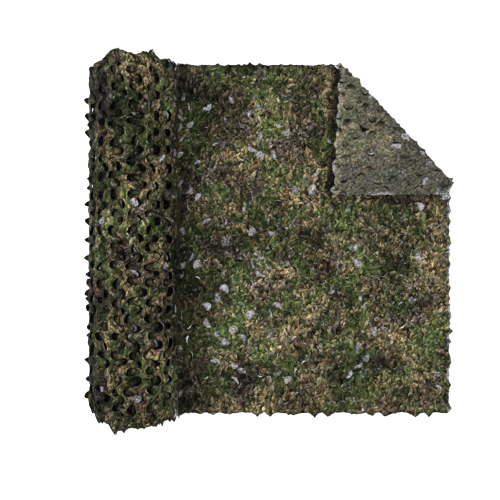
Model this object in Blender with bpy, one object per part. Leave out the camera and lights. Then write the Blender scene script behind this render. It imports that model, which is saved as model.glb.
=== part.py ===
"""Camouflage netting: a roll of leaf-cut cloth, its loose end laid out flat with one corner folded back.

Metres, +Z up. The origin is on the floor under the middle of the roll's axis. +Y runs along the roll and
+X towards the free end. The cloth is wound print side out, so its outer turn comes over the top, hangs down
the roll's +X side and sweeps out flat onto the floor, still print side up.
"""

import math

import bmesh
import bpy
from mathutils import Vector
from mathutils.geometry import delaunay_2d_cdt

# The cloth
NET_WIDTH = 1.50  # cut edge to cut edge, along the roll
CLOTH = 0.003  # thickness of the leafy cloth as it lies
GAP = 0.0003  # left between the two solids

# The roll
ROLL_RADIUS = 0.190
ROLL_SAG = 0.004  # how far the roll's own weight flattens its foot
ROLL_STATIONS = 48  # corners round the roll
RINGS_PER_DENT = 6
ROLL_DENTS = 8  # leaf-cut dents in one turn
DENT_DEPTH = 0.012
SLUMP = 0.0015  # how unevenly the wound cloth has sunk along the roll
STEP_FADE = 0.06  # turns over which the dents fade out at the step
FOOT_FADE = 0.08  # and at the foot
FOOT_MARGIN = 1.3  # no station lies nearer to the foot than this many times its half width
END_TAPER = 0.012  # how far the slack edges of the turns draw in at each end
END_TAPER_RUN = 0.060
END_REACH = (  # how far past half the net's width the rim of each end reaches, round the roll
    # turn, +Y end, -Y end
    (0.00, -0.024, -0.022),
    (0.09, -0.026, -0.008),
    (0.17, 0.003, 0.006),
    (0.23, -0.008, 0.010),
    (0.30, 0.016, 0.020),
    (0.37, -0.026, -0.024),
    (0.44, -0.050, -0.062),
    (0.60, -0.040, -0.050),
    (0.80, -0.026, -0.026),
    (1.00, -0.024, -0.022),
)
RIM_LOBE = 0.004  # how far the cut edge's lobes stand out round the rim
COILS = 4  # turns of the spiral that shows on an end face
COIL_GROOVE = 0.011  # depth of the spiral groove between them
COIL_RUFFLE = 0.004  # how unevenly the turns' edges stand out

# The leaf cuts: crescents in staggered columns that face each other, at twice the real net's pitch
CUT_PITCH_X = 0.150
CUT_PITCH_Y = NET_WIDTH / 10.5
CUT_HALF_HEIGHT = 0.027
CUT_OUTER_BULGE = 0.026
CUT_INNER_BULGE = 0.013
CUT_EDGE_CLEARANCE = 0.034  # no cut lies nearer to the cloth's outline than this
CUT_FIRST_ROW = 0.25  # pitches from the -Y edge to the first cut's middle
LOBE_PITCH_X = 0.075  # leaf-shaped lobes along the two long edges
LOBE_PITCH_Y = NET_WIDTH / 21  # and along the free end
LOBE_DEPTH = 0.024
LOBE_SHAPE = (0.0, 0.55, 1.0, 0.45)  # a lobe's reach at each quarter of its pitch
TRIMMED_EDGE = 0.6  # the +Y edge's lobes are this much of the others' depth

# The loose end
SWEEP_RADIUS = 0.072  # of the quarter turn from the hang onto the floor
SWEEP_WAVE = 0.008  # how much that radius varies along the roll
SWEEP_SEGMENTS = 6
SEAM_POINTS = 12  # corners along the seam at the roll
FREE_END_X = 1.345
EDGE_LIFT = 0.006  # how far the long edges ripple off the floor
EDGE_LIFT_RUN = 0.10
LIFT_CLEAR_OF_SWEEP = 0.10  # the ripples grow from nothing over this far from the landing line
LIFT_CLEAR_OF_CREASE = 0.30  # and have faded out this far before the crease
LIFT_FADE = 0.12

# The folded corner: its crease runs between these two points on the floor
CREASE_TOP = Vector((0.8666, 0.7525))
CREASE_SIDE = Vector((1.3514, 0.2377))
CREASE_RADIUS = 0.007
CREASE_SEGMENTS = 4
CREASE_OVERRUN = 0.3  # the bend's lines run this far past both points, clear of the cloth
CORNER_FLARE = 0.070  # how far the pulled corner steps out past the free end, just above the crease
CORNER_FLARE_RUN = 0.050
CORNER_SPREAD = 0.034  # how much further out it reaches at the +Y edge
CORNER_WIDENING = 0.010  # how far the pulled +Y edge of the corner stands out
CORNER_WIDENING_RUN = 0.06
FLAP_CLEARANCE = 0.002  # between the settled flap and the cloth under it
FLAP_SETTLE_RUN = 0.16  # how far from the crease the flap has settled

AXIS_HEIGHT = ROLL_RADIUS - ROLL_SAG
HANG_X = ROLL_RADIUS - CLOTH / 2  # the hanging cloth's middle surface
HALF_WIDTH = NET_WIDTH / 2
CREASE_ALONG = (CREASE_SIDE - CREASE_TOP).normalized()
CREASE_OUT = Vector((-CREASE_ALONG.y, CREASE_ALONG.x))

PRINT_GREEN = (0.085, 0.095, 0.045, 1.0)


def clear_scene():
    for item in list(bpy.data.objects):
        bpy.data.objects.remove(item)


def smooth(share):
    """0 below 0, 1 above 1, and an even S between."""
    share = min(1.0, max(0.0, share))
    return share * share * (3 - 2 * share)


def uneven(distance, phase):
    """A slow wobble between -1 and 1, so that repeats along an edge aren't all alike."""
    return 0.6 * math.sin(9.7 * distance + phase) + 0.4 * math.sin(23.3 * distance + 2.1 * phase)


def cloth_material():
    material = bpy.data.materials.new("camouflage_cloth")
    material.use_nodes = True
    shader = material.node_tree.nodes["Principled BSDF"]
    shader.inputs["Base Color"].default_value = PRINT_GREEN
    shader.inputs["Roughness"].default_value = 0.62
    shader.inputs["Metallic"].default_value = 0.0
    return material


def add_object(name, mesh_builder, material):
    bmesh.ops.recalc_face_normals(mesh_builder, faces=mesh_builder.faces)
    mesh = bpy.data.meshes.new(name)
    mesh_builder.to_mesh(mesh)
    mesh_builder.free()
    mesh.materials.append(material)
    item = bpy.data.objects.new(name, mesh)
    bpy.context.collection.objects.link(item)
    return item


# ---------------------------------------------------------------------------------------------------------
# The roll: one spiral section, lofted along Y. A turn of 0 is the step on the +X side where the loose end
# leaves, 0.25 is the top and 0.75 the foot. By 1 the spiral has gone in by one thickness of cloth.


def foot_half_turn():
    return math.acos(AXIS_HEIGHT / ROLL_RADIUS) / math.tau


def roll_turns():
    """Even stations round the roll, with none inside the flat foot and one at each of its edges."""
    half = foot_half_turn()
    even = [index / ROLL_STATIONS for index in range(ROLL_STATIONS + 1)]
    before = [turn for turn in even if turn < 0.75 - FOOT_MARGIN * half]
    after = [turn for turn in even if turn > 0.75 + FOOT_MARGIN * half]
    return before + [0.75 - half, 0.75 + half] + after


def roll_radius(turn, y):
    """The spiral's radius, with its leaf-cut dents, which fade out at the step and at the foot."""
    radius = ROLL_RADIUS - (CLOTH + GAP) * turn
    dent = 1 - math.cos(math.tau * ROLL_DENTS * turn) * math.cos(math.tau * y / CUT_PITCH_Y)
    fade = smooth(turn / STEP_FADE) * smooth(abs(turn - 0.75) / FOOT_FADE) * smooth((1 - turn) / STEP_FADE)
    slack = smooth((abs(y) - HALF_WIDTH + END_TAPER_RUN) / END_TAPER_RUN)
    slump = SLUMP * (1 + uneven(y, 1.3))
    return radius - fade * (DENT_DEPTH * dent / 2 + slump + END_TAPER * slack)


def end_y(turn, side, share=1.0):
    """The y of an end face at this turn. The reach of its rim fades out towards the middle of the face."""
    for (start, *near), (stop, *far) in zip(END_REACH, END_REACH[1:]):
        if turn <= stop:
            blend = smooth((turn - start) / (stop - start))
            column = 0 if side > 0 else 1
            reach = near[column] + (far[column] - near[column]) * blend
            break
    lobe = RIM_LOBE * math.cos(math.tau * ROLL_DENTS * turn)
    return side * (HALF_WIDTH + share * (reach + lobe))


def roll_point(turn, y, share=1.0):
    """A point at this share of the section's radius. The foot is pressed flat onto the floor."""
    angle = math.tau * turn
    radius = roll_radius(turn, y)
    x = radius * math.cos(angle)
    z = max(-AXIS_HEIGHT, radius * math.sin(angle))
    if abs(turn - 0.75) < FOOT_MARGIN * foot_half_turn():
        z = -AXIS_HEIGHT
    return Vector((x * share, y, AXIS_HEIGHT + z * share))


def coil_point(line, turn, side):
    """A point on an end face's spiral. Even lines are the crests of its coils and odd ones the grooves."""
    wound = line / 2 + turn
    share = 1 - wound / COILS
    groove = COIL_GROOVE * (line % 2) * smooth(3 * share)
    ruffle = COIL_RUFFLE * uneven(1.7 * wound, 0.4) * smooth(4 * (1 - share))
    return roll_point(turn, end_y(turn, side, share) - side * (groove + ruffle), share)


def build_roll_end(builder, rim, turns, side):
    """One end face. After a full turn a line of the spiral becomes the line two further in."""
    line_count = 2 * COILS
    centre = builder.verts.new((0.0, side * HALF_WIDTH, AXIS_HEIGHT))
    lines = []
    for line in range(line_count - 1):
        lines.append([builder.verts.new(coil_point(line, turn, side)) for turn in turns[:-1]])
    builder.verts.remove(lines[0][0])
    lines[0][0] = rim[0]
    for line, row in enumerate(lines):
        row.append(lines[line + 2][0] if line + 2 < len(lines) else centre)
    for outer, inner in zip([rim] + lines, lines + [[centre] * len(turns)]):
        for index in range(len(turns) - 1):
            add_face(builder, [outer[index], outer[index + 1], inner[index + 1], inner[index]])
    add_face(builder, [rim[-1], rim[0], lines[1][0], lines[2][0]])


def add_face(builder, corners):
    """A face of these corners, leaving out any that repeats."""
    distinct = list(dict.fromkeys(corners))
    if len(distinct) > 2:
        builder.faces.new(distinct)


def build_roll(material):
    builder = bmesh.new()
    turns = roll_turns()
    ring_count = round(NET_WIDTH / CUT_PITCH_Y * RINGS_PER_DENT)
    rings = []
    for index in range(ring_count + 1):
        along = 2 * index / ring_count - 1
        side = 1 if along > 0 else -1
        rings.append([builder.verts.new(roll_point(turn, abs(along) * end_y(turn, side))) for turn in turns])
    for near, far in zip(rings, rings[1:]):
        for index in range(-1, len(turns) - 1):
            builder.faces.new((near[index], near[index + 1], far[index + 1], far[index]))
    build_roll_end(builder, rings[0], turns, -1)
    build_roll_end(builder, rings[-1], turns, 1)
    return add_object("net_roll", builder, material)


# ---------------------------------------------------------------------------------------------------------
# The loose end. Its flat cut is drawn in the floor's own x and y, as if the whole of it were laid out:
# cloth at an x below the landing line is the part that sweeps up and hangs from the roll.


def sweep_radius(y):
    return SWEEP_RADIUS + SWEEP_WAVE * uneven(0.75 * y, 0.7)


def landing_x(y):
    return HANG_X + sweep_radius(y)


def seam_x(y):
    """The flat cut's x where the hanging cloth meets the roll's step."""
    radius = sweep_radius(y)
    hang = AXIS_HEIGHT - GAP - CLOTH / 2 - radius
    return landing_x(y) - radius * math.pi / 2 - hang


def edge_lift(x, y):
    """How far the cloth ripples off the floor near its two long edges, clear of the sweep and the flap."""
    near_edge = smooth((abs(y) - HALF_WIDTH + EDGE_LIFT_RUN) / EDGE_LIFT_RUN)
    clear_of_sweep = smooth((x - landing_x(y)) / LIFT_CLEAR_OF_SWEEP)
    past_crease = (Vector((x, y)) - CREASE_TOP).dot(CREASE_OUT)
    clear_of_flap = smooth(-(past_crease + LIFT_CLEAR_OF_CREASE) / LIFT_FADE)
    return EDGE_LIFT * near_edge * clear_of_sweep * clear_of_flap * (0.5 + 0.5 * uneven(x, y))


def lay(x, y, offset):
    """Where a point of the flat cut lies. offset runs from the cloth's middle towards its print side."""
    run = x - landing_x(y)
    radius = sweep_radius(y)
    past_crease = (Vector((x, y)) - CREASE_TOP).dot(CREASE_OUT)
    if past_crease > 0:
        return fold_over(Vector((x, y)), past_crease, offset)
    if run >= 0:
        return Vector((x, y, CLOTH / 2 + edge_lift(x, y) + offset))
    angle = -run / radius
    if angle < math.pi / 2:
        reach = radius - offset
        height = CLOTH / 2 + radius - reach * math.cos(angle)
        return Vector((landing_x(y) - reach * math.sin(angle), y, height))
    height = CLOTH / 2 + radius + (-run - radius * math.pi / 2)
    return Vector((HANG_X + offset, y, height))


def fold_over(point, past_crease, offset):
    """The corner beyond the crease: round the crease, then back over the cloth, easing down onto it."""
    foot = point - CREASE_OUT * past_crease
    angle = past_crease / CREASE_RADIUS
    if angle < math.pi:
        reach = CREASE_RADIUS - offset
        flat = foot + CREASE_OUT * reach * math.sin(angle)
        return Vector((flat.x, flat.y, CLOTH / 2 + CREASE_RADIUS - reach * math.cos(angle)))
    back = past_crease - CREASE_RADIUS * math.pi
    flat = foot - CREASE_OUT * back
    crown = 2 * CREASE_RADIUS
    settled = CLOTH + FLAP_CLEARANCE
    height = crown + (settled - crown) * smooth(back / FLAP_SETTLE_RUN)
    return Vector((flat.x, flat.y, CLOTH / 2 + height - offset))


def lobed_edge(length, pitch, phase):
    """(distance, reach) along an edge of leaf-shaped lobes, the last corner left out."""
    count = round(length / pitch) * len(LOBE_SHAPE)
    for index in range(count):
        distance = length * index / count
        reach = LOBE_SHAPE[index % len(LOBE_SHAPE)] * LOBE_DEPTH * (1 + 0.45 * uneven(distance, phase))
        yield distance, reach


def free_end_x(y):
    """The free end runs straight, then steps out and spreads along the corner that is folded back."""
    past = y - CREASE_SIDE.y
    flare = CORNER_FLARE * smooth(past / CORNER_FLARE_RUN)
    spread = CORNER_SPREAD * max(0.0, past) / (HALF_WIDTH - CREASE_SIDE.y)
    return FREE_END_X + flare + spread - LOBE_DEPTH / 2


def long_edge_y(x):
    """The +Y edge, which stands out a little along the pulled corner."""
    widening = CORNER_WIDENING * smooth((x - CREASE_TOP.x) / CORNER_WIDENING_RUN)
    return HALF_WIDTH + widening - TRIMMED_EDGE * LOBE_DEPTH / 2


def cloth_outline():
    """The flat cut's outline: -Y edge, free end, +Y edge, and the straight seam at the roll."""
    points = []
    low = -HALF_WIDTH + LOBE_DEPTH / 2
    seam_low = seam_x(-HALF_WIDTH)
    for distance, reach in lobed_edge(FREE_END_X - seam_low, LOBE_PITCH_X, 0.6):
        points.append((seam_low + distance, low - reach if distance else -HALF_WIDTH))
    high = long_edge_y(FREE_END_X)
    for distance, reach in lobed_edge(high - low, LOBE_PITCH_Y, 1.9):
        points.append((free_end_x(low + distance) + reach, low + distance))
    seam_high = seam_x(HALF_WIDTH)
    end_x = free_end_x(high)
    for distance, reach in lobed_edge(end_x - seam_high, LOBE_PITCH_X, 3.1):
        x = end_x - distance
        points.append((x, long_edge_y(x) + TRIMMED_EDGE * reach))
    for index in range(SEAM_POINTS):
        y = HALF_WIDTH - NET_WIDTH * index / SEAM_POINTS
        points.append((seam_x(y), y))
    return points


def crescent(x, y, facing):
    """One leaf cut: two tips, with its outer and inner arcs between them."""
    points = []
    for bulge, heights in ((CUT_OUTER_BULGE, (-1, -0.55, 0, 0.55)), (CUT_INNER_BULGE, (1, 0.55, 0, -0.55))):
        for height in heights:
            reach = bulge * (0.5 - height * height)
            points.append((x - facing * reach, y - facing * CUT_HALF_HEIGHT * height))
    return points


def leaf_cuts():
    """Staggered columns of crescents, facing one way and then the other."""
    cuts = []
    column = 0
    x = seam_x(0.0) + CUT_PITCH_X / 2
    while x < FREE_END_X + CORNER_FLARE + CORNER_SPREAD:
        shift = CUT_PITCH_Y / 2 if column % 2 else 0.0
        rows = int(NET_WIDTH / CUT_PITCH_Y) + 1
        for row in range(rows + 1):
            y = -HALF_WIDTH + CUT_PITCH_Y * (row + CUT_FIRST_ROW) + shift
            above_low_edge = -HALF_WIDTH < y - CUT_EDGE_CLEARANCE
            below_high_edge = y + CUT_EDGE_CLEARANCE < long_edge_y(x)
            if above_low_edge and below_high_edge and x + CUT_EDGE_CLEARANCE < free_end_x(y):
                cuts.append(crescent(x, y, 1 if column % 2 else -1))
        x += CUT_PITCH_X / 2
        column += 1
    return cuts


def bend_lines():
    """Straight lines across the flat cut, so that its facets turn where the cloth bends."""
    lines = []
    start = HANG_X + SWEEP_RADIUS
    for index in range(SWEEP_SEGMENTS + 1):
        x = start - SWEEP_RADIUS * math.pi / 2 * index / SWEEP_SEGMENTS
        lines.append((Vector((x, -NET_WIDTH)), Vector((x, NET_WIDTH))))
    for index in range(CREASE_SEGMENTS + 1):
        shift = CREASE_OUT * (CREASE_RADIUS * math.pi * index / CREASE_SEGMENTS)
        reach = CREASE_ALONG * CREASE_OVERRUN
        lines.append((CREASE_TOP + shift - reach, CREASE_SIDE + shift + reach))
    return lines


def flat_cut():
    """The flat cut as points and triangles: its outline filled, less every leaf cut."""
    points = []
    loops = []
    for loop in [cloth_outline()] + leaf_cuts():
        loops.append(list(range(len(points), len(points) + len(loop))))
        points.extend(Vector(corner) for corner in loop)
    edges = []
    for first, second in bend_lines():
        edges.append((len(points), len(points) + 1))
        points.extend((first, second))
    filled = delaunay_2d_cdt(points, edges, loops, 0, 1e-6)
    corners, triangles, inside = filled[0], filled[2], filled[5]
    kept = [face for face, owners in zip(triangles, inside) if list(owners) == [0]]
    return corners, kept


def build_loose_end(material):
    corners, triangles = flat_cut()
    builder = bmesh.new()
    used = sorted({corner for face in triangles for corner in face})
    printed = {index: builder.verts.new(lay(*corners[index], CLOTH / 2)) for index in used}
    under = {index: builder.verts.new(lay(*corners[index], -CLOTH / 2)) for index in used}
    sides = {}
    for face in triangles:
        builder.faces.new([printed[index] for index in face])
        builder.faces.new([under[index] for index in reversed(face)])
        for first, second in zip(face, face[1:] + face[:1]):
            key = (min(first, second), max(first, second))
            sides[key] = None if key in sides else (first, second)
    for first, second in filter(None, sides.values()):
        builder.faces.new((printed[second], printed[first], under[first], under[second]))
    return add_object("net_loose_end", builder, material)


def main():
    clear_scene()
    material = cloth_material()
    build_roll(material)
    build_loose_end(material)


main()
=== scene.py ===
"""The looks of a roll of leaf-cut camouflage netting, seen from straight above.

Metres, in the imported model's frame: the origin is on the floor under the roll's axis, +X runs towards the
netting's free end, +Y along the roll and +Z up. Every leaf is real geometry. A place on the netting is first
given on its flat cut as u and v, which are x and y if the whole loose end were laid out flat, and then goes
onto the roll, down its side, across the floor or over the crease of the folded corner.
"""

import math
from collections import namedtuple

import bpy
import numpy as np
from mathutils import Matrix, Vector


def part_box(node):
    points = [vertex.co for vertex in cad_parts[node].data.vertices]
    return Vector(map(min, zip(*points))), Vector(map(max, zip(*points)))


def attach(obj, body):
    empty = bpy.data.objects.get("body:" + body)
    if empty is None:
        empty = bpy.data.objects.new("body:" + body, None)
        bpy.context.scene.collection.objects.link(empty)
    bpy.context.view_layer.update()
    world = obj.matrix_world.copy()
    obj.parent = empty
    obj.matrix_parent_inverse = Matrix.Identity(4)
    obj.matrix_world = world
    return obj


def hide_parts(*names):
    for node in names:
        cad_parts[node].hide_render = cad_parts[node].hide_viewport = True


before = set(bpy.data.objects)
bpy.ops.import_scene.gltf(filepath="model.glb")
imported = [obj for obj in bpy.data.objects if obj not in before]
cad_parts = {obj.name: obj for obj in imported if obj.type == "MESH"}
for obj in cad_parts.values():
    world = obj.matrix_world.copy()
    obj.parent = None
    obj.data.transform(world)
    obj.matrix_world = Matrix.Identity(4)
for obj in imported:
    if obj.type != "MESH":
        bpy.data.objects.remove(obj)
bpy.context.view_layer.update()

# Sizes that follow the solids
NET_WIDTH = 1.50
HALF_WIDTH = NET_WIDTH / 2
CLOTH = 0.003  # the solids' thickness, whose middle the thin cloth follows
ROLL_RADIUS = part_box("net_roll")[1][0]
ROLL_SAG = 0.004
AXIS_HEIGHT = ROLL_RADIUS - ROLL_SAG
TURN_STEP = 0.0033  # the spiral goes in this far in one turn
END_TAPER = 0.012
END_TAPER_RUN = 0.060
END_REACH = (  # how far past half the net's width the rim of each end reaches, round the roll
    # turn, +Y end, -Y end
    (0.00, -0.024, -0.022),
    (0.09, -0.026, -0.008),
    (0.17, 0.003, 0.006),
    (0.23, -0.008, 0.010),
    (0.30, 0.016, 0.020),
    (0.37, -0.026, -0.024),
    (0.44, -0.050, -0.062),
    (0.60, -0.040, -0.050),
    (0.80, -0.026, -0.026),
    (1.00, -0.024, -0.022),
)
HANG_X = ROLL_RADIUS - CLOTH / 2
SWEEP_RADIUS = 0.072
SWEEP_WAVE = 0.008
FREE_END_X = 1.345
CREASE_TOP = np.array((0.8666, 0.7525))
CREASE_SIDE = np.array((1.3514, 0.2377))
CREASE_ALONG = (CREASE_SIDE - CREASE_TOP) / np.linalg.norm(CREASE_SIDE - CREASE_TOP)
CREASE_OUT = np.array((-CREASE_ALONG[1], CREASE_ALONG[0]))
CREASE_RADIUS = 0.007
CORNER_FLARE = 0.070
CORNER_FLARE_RUN = 0.050
CORNER_SPREAD = 0.034
FLAP_SETTLE = 0.005
FLAP_SETTLE_RUN = 0.16
FLAP_LIFT = 0.010
FLOAT = 0.0100  # the leaves that point down prop the loose end this far up
LOWEST = 0.0006  # no cloth lies nearer to the floor than this
EDGE_PALENESS = 0.85  # how pale the curled free edge is
# painted highlight on the cut rim of each leaf, towards its tip
RIM_LIGHT = 0.35  # how much lighter the cut rim of a leaf is
RIM_LOBE = 0.050  # from one lobe to the next along the folded corner's rim
# painted shade along the long edges
EDGE_SHADE = 0.62  # how dark the long edges are, which turn down
LongEdge = namedtuple("LongEdge", ("roll_teeth", "laid_teeth", "laid_pitch"))
LONG_EDGES = {  # by side: how deep the ragged teeth are on the roll and on the loose end, and their pitch
    1: LongEdge(0.026, 0.014, 0.060),
    -1: LongEdge(0.036, 0.026, 0.084),
}
RIPPLE_WAVES = 7

# The leaf cuts: half-pitches of their lattice, and the round tongue cut in each tile
HALF_U = 0.038
HALF_V = NET_WIDTH / 42
LEAF_RADIUS = 0.0195
ROLL_LEAF_RADIUS = 0.0168
UNDER_LEAF_RADIUS = 0.0180
LOOSE_SPOKES = 20  # points round each leaf
ROLL_SPOKES = 24
UNDER_SPOKES = 12
UNDER_SINK = 0.017  # how far below the outer turn the next one lies
UNDER_SHIFT = (0.015, 0.013)  # its leaves are set off by this much
ROWS = 23  # of leaves on each side of the middle, of which some lie past the edges and come away
RIDGE_SWAY = 0.012  # how far the ridges between the roll's columns of leaves wind to and fro
COLUMN_SWAY = 0.008  # how far the leaves on the roll stand out of line, to and fro
LEAF_HINGE = 0.009  # the line that a leaf bends on is this far behind its centre
LEAF_LENGTH = LEAF_RADIUS + LEAF_HINGE
CUT_HALF_ANGLE = math.radians(118)
LEAF_RINGS = (0.3, 0.55, 0.75, 0.88, 1.0)
STILL = 1e-4  # a bend too small to see
SLIT_WIDTH = 0.0003  # of a slit that hasn't opened
SAME_PLACE = 1e-5  # rim points nearer than this are one
LEAST_AREA = 2e-8  # of a face worth keeping at a cut edge
TIP_RUN = 0.011  # the last stretch of each leaf, which curls more than the rest

# The studio
PICTURE_WIDTH = 500  # pixels
PIXELS_PER_METRE = 233.1  # on the floor
FRAME_WIDTH = PICTURE_WIDTH / PIXELS_PER_METRE
CAMERA_HEIGHT = 5.2
VIEW_CENTRE = (0.49, -0.045)
SENSOR = 36.0
FLOOR_REACH = 6.0
PAPER_LIGHTNESS = 0.93
SKY_STRENGTH = 0.90
KEY_POWER = 485.0
KEY_SIZE = 2.6
KEY_PLACE = Vector((-0.9, 0.1, 5.2))
KEY_AIM = Vector((0.4, 0.0, 0.0))


# --------------------
# Shapes shared by every piece


def smooth(share):
    share = np.clip(share, 0.0, 1.0)
    return share * share * (3 - 2 * share)


def uneven(distance, phase):
    return 0.6 * np.sin(9.7 * distance + phase) + 0.4 * np.sin(23.3 * distance + 2.1 * phase)


def ripples(u, v, wavelength, seed):
    """Smooth unevenness over the flat cut, roughly between -1 and 1."""
    random = np.random.default_rng(seed)
    total = np.zeros(np.broadcast(u, v).shape)
    for _ in range(RIPPLE_WAVES):
        heading = random.uniform(0, math.tau)
        rate = math.tau / (wavelength * random.uniform(0.7, 1.5))
        total += np.sin(rate * (u * math.cos(heading) + v * math.sin(heading)) + random.uniform(0, math.tau))
    return total / math.sqrt(RIPPLE_WAVES * 1.2)


def sweep_radius(v):
    return SWEEP_RADIUS + SWEEP_WAVE * uneven(0.75 * v, 0.7)


def landing_u(v):
    return HANG_X + sweep_radius(v)


def seam_u(v):
    """Where the hanging cloth leaves the roll."""
    radius = sweep_radius(v)
    return landing_u(v) - radius * math.pi / 2 - (AXIS_HEIGHT - CLOTH / 2 - radius)


def turn_of(u, v):
    """How far round the roll a place lies, in turns back from the seam."""
    return (seam_u(v) - u) / (math.tau * (ROLL_RADIUS - CLOTH / 2))


def rim_reach(turn, side):
    turns = [row[0] for row in END_REACH]
    reach = np.array([row[1 if side > 0 else 2] for row in END_REACH])
    index = np.clip(np.searchsorted(turns, turn, side="right") - 1, 0, len(turns) - 2)
    start = np.take(turns, index)
    share = smooth((turn - start) / (np.take(turns, index + 1) - start))
    return reach[index] + (reach[index + 1] - reach[index]) * share


def teeth(distance, pitch, seed):
    """The ragged cut edge: shallow hollows between points, from 0 to about 1, no two alike."""
    random = np.random.default_rng(seed)
    place = distance / pitch + 0.25 * np.sin(2.3 * distance / pitch + seed)
    cell = np.floor(place).astype(int)
    heights = random.uniform(0.45, 1.0, 400) ** 2.2
    near = heights[cell % 400]
    far = heights[(cell + 1) % 400]
    share = place - cell
    return near * np.clip(1 - 2.4 * share, 0, 1) ** 1.6 + far * np.clip(2.4 * share - 1.4, 0, 1) ** 1.6


def lobes(distance, pitch, seed):
    """Rounded lobes between sharp notches, from 0 to about 1."""
    place = distance / pitch + 0.22 * np.sin(1.7 * distance / pitch + seed)
    return np.sqrt(np.abs(np.sin(math.pi * place))) * (0.75 + 0.25 * np.sin(2.9 * np.floor(place) + seed))


def long_edge(u, side):
    """The v of a long edge, on the roll and on the loose end."""
    edge = LONG_EDGES[side]
    turn = turn_of(u, side * HALF_WIDTH)
    frayed = edge.roll_teeth * teeth(u, 0.066, 5 + side) + 0.008 * teeth(u, 0.029, 17 + side)
    on_roll = HALF_WIDTH + rim_reach(np.clip(turn, 0, 1), side) + frayed - 0.010
    ragged = edge.laid_teeth * teeth(u, edge.laid_pitch, 11 + side) + 0.008 * teeth(u, 0.031, 15 + side)
    laid = HALF_WIDTH - 0.4 * edge.laid_teeth + ragged * smooth((FREE_END_X - u) / 0.03)
    if side > 0:
        on_flap = HALF_WIDTH - 0.008 + 0.026 * lobes(u, RIM_LOBE, 2.0)
        laid = laid + (on_flap - laid) * smooth((u - CREASE_TOP[0]) / 0.02)
    return side * (on_roll + (laid - on_roll) * smooth(-turn * 9.0))


def free_edge(v):
    past = v - CREASE_SIDE[1]
    flare = CORNER_FLARE * smooth((past + 0.01) / CORNER_FLARE_RUN)
    spread = CORNER_SPREAD * np.clip(past, 0, 1) / (HALF_WIDTH - CREASE_SIDE[1])
    ragged = 0.018 * teeth(v, 0.064, 21) * (1 - 0.8 * smooth(past / 0.06)) + 0.010 * teeth(v, 0.036, 23)
    return FREE_END_X + flare + spread - 0.006 + ragged * smooth((v + HALF_WIDTH) / 0.03)


def past_crease(u, v):
    return (u - CREASE_TOP[0]) * CREASE_OUT[0] + (v - CREASE_TOP[1]) * CREASE_OUT[1]


def flap_gaps(u, v):
    """How far a place is from the folded corner's two cut edges. Below 0 for both, the corner covers it."""
    past = past_crease(u, v)
    over_u = u - 2 * CREASE_OUT[0] * past
    over_v = v - 2 * CREASE_OUT[1] * past
    return over_v - HALF_WIDTH, over_u - FREE_END_X - CORNER_FLARE - CORNER_SPREAD * 0.7


def under_flap(u, v):
    return (past_crease(u, v) < 0.01) & (np.maximum(*flap_gaps(u, v)) < 0.03)


def near_end(v):
    return smooth((np.abs(v) - HALF_WIDTH + 0.13) / 0.05)


def near_foot(turn):
    return 1 - smooth((np.abs(turn - 0.75) - 0.05) / 0.09)


def roll_radius(turn, v):
    """The middle of the outer turn's cloth. The far side, away from the loose end, has sunk in a little."""
    sunk = 0.006 * (1 - near_foot(turn)) + 0.010 * smooth(1 - np.abs(turn - 0.5) / 0.24)
    slack = END_TAPER * smooth((np.abs(v) - HALF_WIDTH + END_TAPER_RUN) / END_TAPER_RUN)
    return ROLL_RADIUS - CLOTH / 2 - TURN_STEP * turn - (sunk + slack) * smooth(turn / 0.06)


def place_on_roll(u, v, out):
    turn = turn_of(u, v)
    angle = math.tau * turn
    radius = roll_radius(turn, v) + out * (1 - 0.85 * near_foot(turn))
    height = AXIS_HEIGHT + radius * np.sin(angle)
    return np.stack((radius * np.cos(angle), v, np.maximum(height, 0.0008 + 0.02 * np.abs(out))), axis=-1)


def place_in_sweep(u, v, out):
    radius = sweep_radius(v)
    angle = np.minimum((landing_u(v) - u) / radius, math.pi / 2)
    risen = out + FLOAT * smooth(1 - angle / 1.2)
    reach = radius - risen
    hang = np.maximum(landing_u(v) - u - radius * math.pi / 2, 0.0)
    x = landing_u(v) - reach * np.sin(angle)
    return np.stack((x, v, CLOTH / 2 + radius - reach * np.cos(angle) + hang), axis=-1)


def place_on_floor(u, v, out):
    edge = smooth((np.abs(v) - HALF_WIDTH + 0.10) / 0.10) * (0.5 + 0.5 * uneven(u, v)) * 0.006
    lift = edge + 0.0022 * ripples(u, v, 0.16, 3)
    clear = smooth((u - landing_u(v)) / 0.06) * smooth(-past_crease(u, v) / 0.05)
    return np.stack((u, v, np.maximum(CLOTH / 2 + FLOAT + lift * clear + out, LOWEST)), axis=-1)


def place_on_flap(u, v, out):
    """Past the crease. The cloth's print side faces down here, and out still counts upwards."""
    past = past_crease(u, v)
    along = (u - CREASE_TOP[0]) * CREASE_ALONG[0] + (v - CREASE_TOP[1]) * CREASE_ALONG[1]
    foot_u = u - CREASE_OUT[0] * past
    foot_v = v - CREASE_OUT[1] * past
    angle = np.minimum(past / CREASE_RADIUS, math.pi)
    back = np.maximum(past - CREASE_RADIUS * math.pi, 0.0)
    settle = FLAP_SETTLE * smooth(back / FLAP_SETTLE_RUN)
    tuft = (0.010 * teeth(along, 0.080, 77) + 0.014 * teeth(along, 0.037, 78)) * np.sin(angle) ** 2
    reach = CREASE_RADIUS - out * np.cos(angle) + tuft + 0.9 * np.abs(out) * np.sin(angle) ** 2
    across = reach * np.sin(angle) - back
    height = CLOTH / 2 + FLOAT + CREASE_RADIUS - reach * np.cos(angle) - settle
    height = height + 0.0020 * ripples(u, v, 0.12, 8) * smooth(back / 0.05)
    height = height + FLAP_LIFT * smooth((v - HALF_WIDTH + 0.05) / 0.05) * smooth(back / 0.03)
    return np.stack((foot_u + CREASE_OUT[0] * across, foot_v + CREASE_OUT[1] * across, height), axis=-1)


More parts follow.
